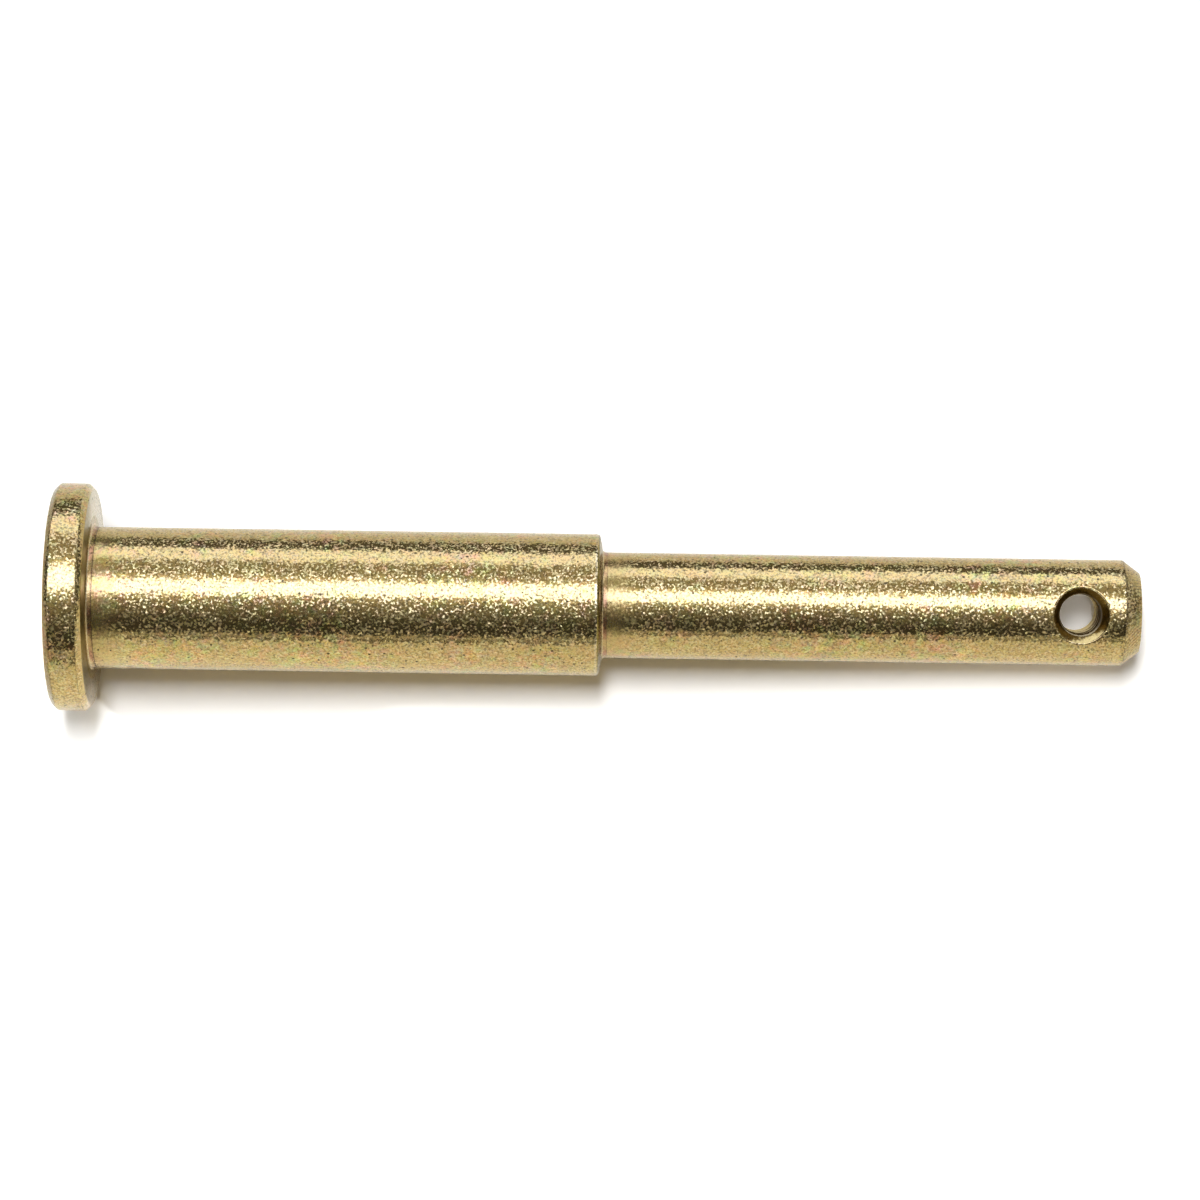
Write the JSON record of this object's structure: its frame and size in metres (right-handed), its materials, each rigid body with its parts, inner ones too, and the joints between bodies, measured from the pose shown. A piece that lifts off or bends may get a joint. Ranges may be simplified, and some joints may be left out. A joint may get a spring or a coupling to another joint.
{
  "type": "hitch pin",
  "caption": "Stepped steel hitch pin with a flat round head, a thick shank, a thinner shank beyond a shoulder, a clip hole across the thin end and a chamfered tip.",
  "frame": {"origin": "centre of the head's flat outer face, on which the pin stands", "axes": "+Z along the pin's axis from the head to the tip, +X along the clip hole across the thin shank, +Y across both"},
  "size_m": [0.0322, 0.0322, 0.153],
  "materials": {
    "zinc_plated_steel": "yellow zinc plate over a grainy forged surface"
  },
  "bodies": {
    "root": {"hitch_pin": "zinc_plated_steel"}
  },
  "joints": []
}
